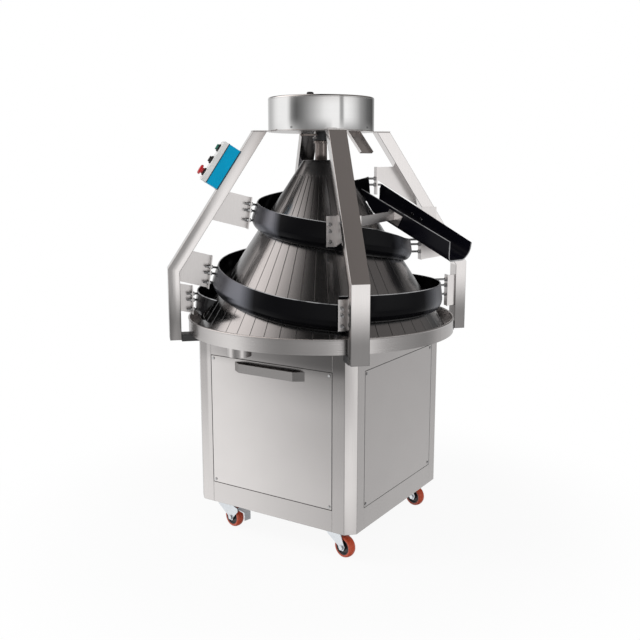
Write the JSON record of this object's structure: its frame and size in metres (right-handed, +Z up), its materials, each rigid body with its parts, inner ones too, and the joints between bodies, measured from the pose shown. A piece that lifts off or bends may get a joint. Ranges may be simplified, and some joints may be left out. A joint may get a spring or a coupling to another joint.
{
  "type": "conical dough rounder",
  "caption": "Bakery dough rounder on casters: a grooved cone turns inside a spiral track held by bent arms, with a flour drum on top, an outfeed chute and a drive cabinet below.",
  "frame": {"origin": "on the floor under the cone's axis", "axes": "+Z up along the cone's axis, front panel at -Y, outfeed chute at +X"},
  "size_m": [1.006, 1.004, 1.624],
  "materials": {
    "stainless": "fine vertical brushing, satin",
    "foot_steel": "dark satin coat",
    "polished": "polished stainless sheet",
    "cone_metal": "dark anodised casting, satin",
    "shaft_steel": "turned, bright",
    "fastener": "bright zinc",
    "casting": "machined casting",
    "paddle_plastic": "white food-grade plastic",
    "black_coat": "glossy black non-stick coat",
    "chute_coat": "satin black non-stick coat",
    "belt_rubber": "matt",
    "motor_paint": "grey enamel",
    "hanger_steel": "mill finish",
    "box_blue": "blue moulding",
    "box_pale": "pale grey moulding",
    "collar_black": "black moulding",
    "button_green": "green moulding",
    "button_black": "black moulding",
    "button_red": "red moulding",
    "zinc": "bright zinc pressings",
    "hub_black": "black moulding",
    "tyre_orange": "orange-red polyurethane"
  },
  "bodies": {
    "frame": {"corner_posts": "stainless", "base_frame": "stainless", "top_frame": "stainless", "front_panel": "stainless", "side_panels": "stainless", "panel_screws": "stainless", "pull_handle": "stainless", "catch_pan": "stainless", "crumb_spout": "stainless", "arm_front": "stainless", "arm_left": "stainless", "arm_back": "stainless", "arm_right": "stainless", "head_plate": "stainless", "track_brackets": "stainless", "chute_supports": "stainless", "flour_channel": "stainless", "arm_feet": "foot_steel", "flour_drum": "polished", "track_studs": "fastener", "bolts": "fastener", "upper_bearing": "casting", "lower_bearing": "casting", "track_lower": "black_coat", "track_middle": "black_coat", "track_upper": "black_coat", "outfeed_chute": "chute_coat", "drive_belt": "belt_rubber", "gear_motor": "motor_paint", "motor_hangers": "hanger_steel", "control_box": "box_blue", "control_lid": "box_pale", "button_collars": "collar_black", "cable_gland": "collar_black", "caster_plates": "zinc"},
    "rotor": {"cone": "cone_metal", "main_shaft": "shaft_steel", "driven_pulley": "casting", "flour_paddles": "paddle_plastic"},
    "drive": {"drive_pulley": "casting"},
    "lid": {"drum_lid": "polished", "lid_knob": "collar_black"},
    "lever": {"flour_lever": "shaft_steel"},
    "start": {"start_button": "button_green"},
    "stop": {"stop_button": "button_black"},
    "emergency": {"emergency_stop": "button_red"},
    "swivel_front": {"fork_front": "zinc"},
    "wheel_front": {"hub_front": "hub_black", "tyre_front": "tyre_orange"},
    "swivel_left": {"fork_left": "zinc"},
    "wheel_left": {"hub_left": "hub_black", "tyre_left": "tyre_orange"},
    "swivel_right": {"fork_right": "zinc"},
    "wheel_right": {"hub_right": "hub_black", "tyre_right": "tyre_orange"},
    "swivel_back": {"fork_back": "zinc"},
    "wheel_back": {"hub_back": "hub_black", "tyre_back": "tyre_orange"},
    "brake_left": {"pedal_left": "zinc"},
    "brake_back": {"pedal_back": "zinc"}
  },
  "joints": [
    {"name": "cone_spin", "type": "hinge", "parent": "frame", "child": "rotor", "pos_m": [0, 0, 1], "axis": [0, 0, 1], "continuous": true},
    {"name": "pulley_spin", "type": "hinge", "parent": "frame", "child": "drive", "pos_m": [0, 0.2, 0.65], "axis": [0, 0, 1], "continuous": true},
    {"name": "lid_lift", "type": "slide", "parent": "frame", "child": "lid", "axis": [0, 0, 1], "range_m": [0, 0.15]},
    {"name": "flour_set", "type": "hinge", "parent": "frame", "child": "lever", "pos_m": [0.00751, -0.05347, 1.469], "axis": [0, 0, 1], "range_deg": [-30, 30]},
    {"name": "start_press", "type": "slide", "parent": "frame", "child": "start", "axis": [0.593, 0.593, -0.5446], "range_m": [0, 0.004], "stiffness_N_per_m": 600, "springref_m": -0.003},
    {"name": "stop_press", "type": "slide", "parent": "frame", "child": "stop", "axis": [0.593, 0.593, -0.5446], "range_m": [0, 0.004], "stiffness_N_per_m": 600, "springref_m": -0.003},
    {"name": "emergency_press", "type": "slide", "parent": "frame", "child": "emergency", "axis": [0.593, 0.593, -0.5446], "range_m": [0, 0.005]},
    {"name": "swivel_front", "type": "hinge", "parent": "frame", "child": "swivel_front", "pos_m": [0.246, -0.277, 0.095], "axis": [0, 0, 1], "continuous": true},
    {"name": "roll_front", "type": "hinge", "parent": "swivel_front", "child": "wheel_front", "pos_m": [0.28121, -0.28448, 0.04], "axis": [0.2079, 0.9781, 0], "continuous": true},
    {"name": "swivel_left", "type": "hinge", "parent": "frame", "child": "swivel_left", "pos_m": [-0.246, -0.277, 0.095], "axis": [0, 0, 1], "continuous": true},
    {"name": "roll_left", "type": "hinge", "parent": "swivel_left", "child": "wheel_left", "pos_m": [-0.21079, -0.28448, 0.04], "axis": [0.2079, 0.9781, 0], "continuous": true},
    {"name": "swivel_right", "type": "hinge", "parent": "frame", "child": "swivel_right", "pos_m": [0.246, 0.277, 0.095], "axis": [0, 0, 1], "continuous": true},
    {"name": "roll_right", "type": "hinge", "parent": "swivel_right", "child": "wheel_right", "pos_m": [0.28121, 0.26952, 0.04], "axis": [0.2079, 0.9781, 0], "continuous": true},
    {"name": "swivel_back", "type": "hinge", "parent": "frame", "child": "swivel_back", "pos_m": [-0.246, 0.277, 0.095], "axis": [0, 0, 1], "continuous": true},
    {"name": "roll_back", "type": "hinge", "parent": "swivel_back", "child": "wheel_back", "pos_m": [-0.21079, 0.26952, 0.04], "axis": [0.2079, 0.9781, 0], "continuous": true},
    {"name": "brake_left", "type": "hinge", "parent": "swivel_left", "child": "brake_left", "pos_m": [-0.18046, -0.29093, 0.076], "axis": [0.2079, 0.9781, 0], "range_deg": [0, 15]},
    {"name": "brake_back", "type": "hinge", "parent": "swivel_back", "child": "brake_back", "pos_m": [-0.18046, 0.26307, 0.076], "axis": [0.2079, 0.9781, 0], "range_deg": [0, 15]}
  ],
  "couplings": [
    {"joint": "pulley_spin", "follows": "cone_spin", "ratio": 2.5}
  ]
}
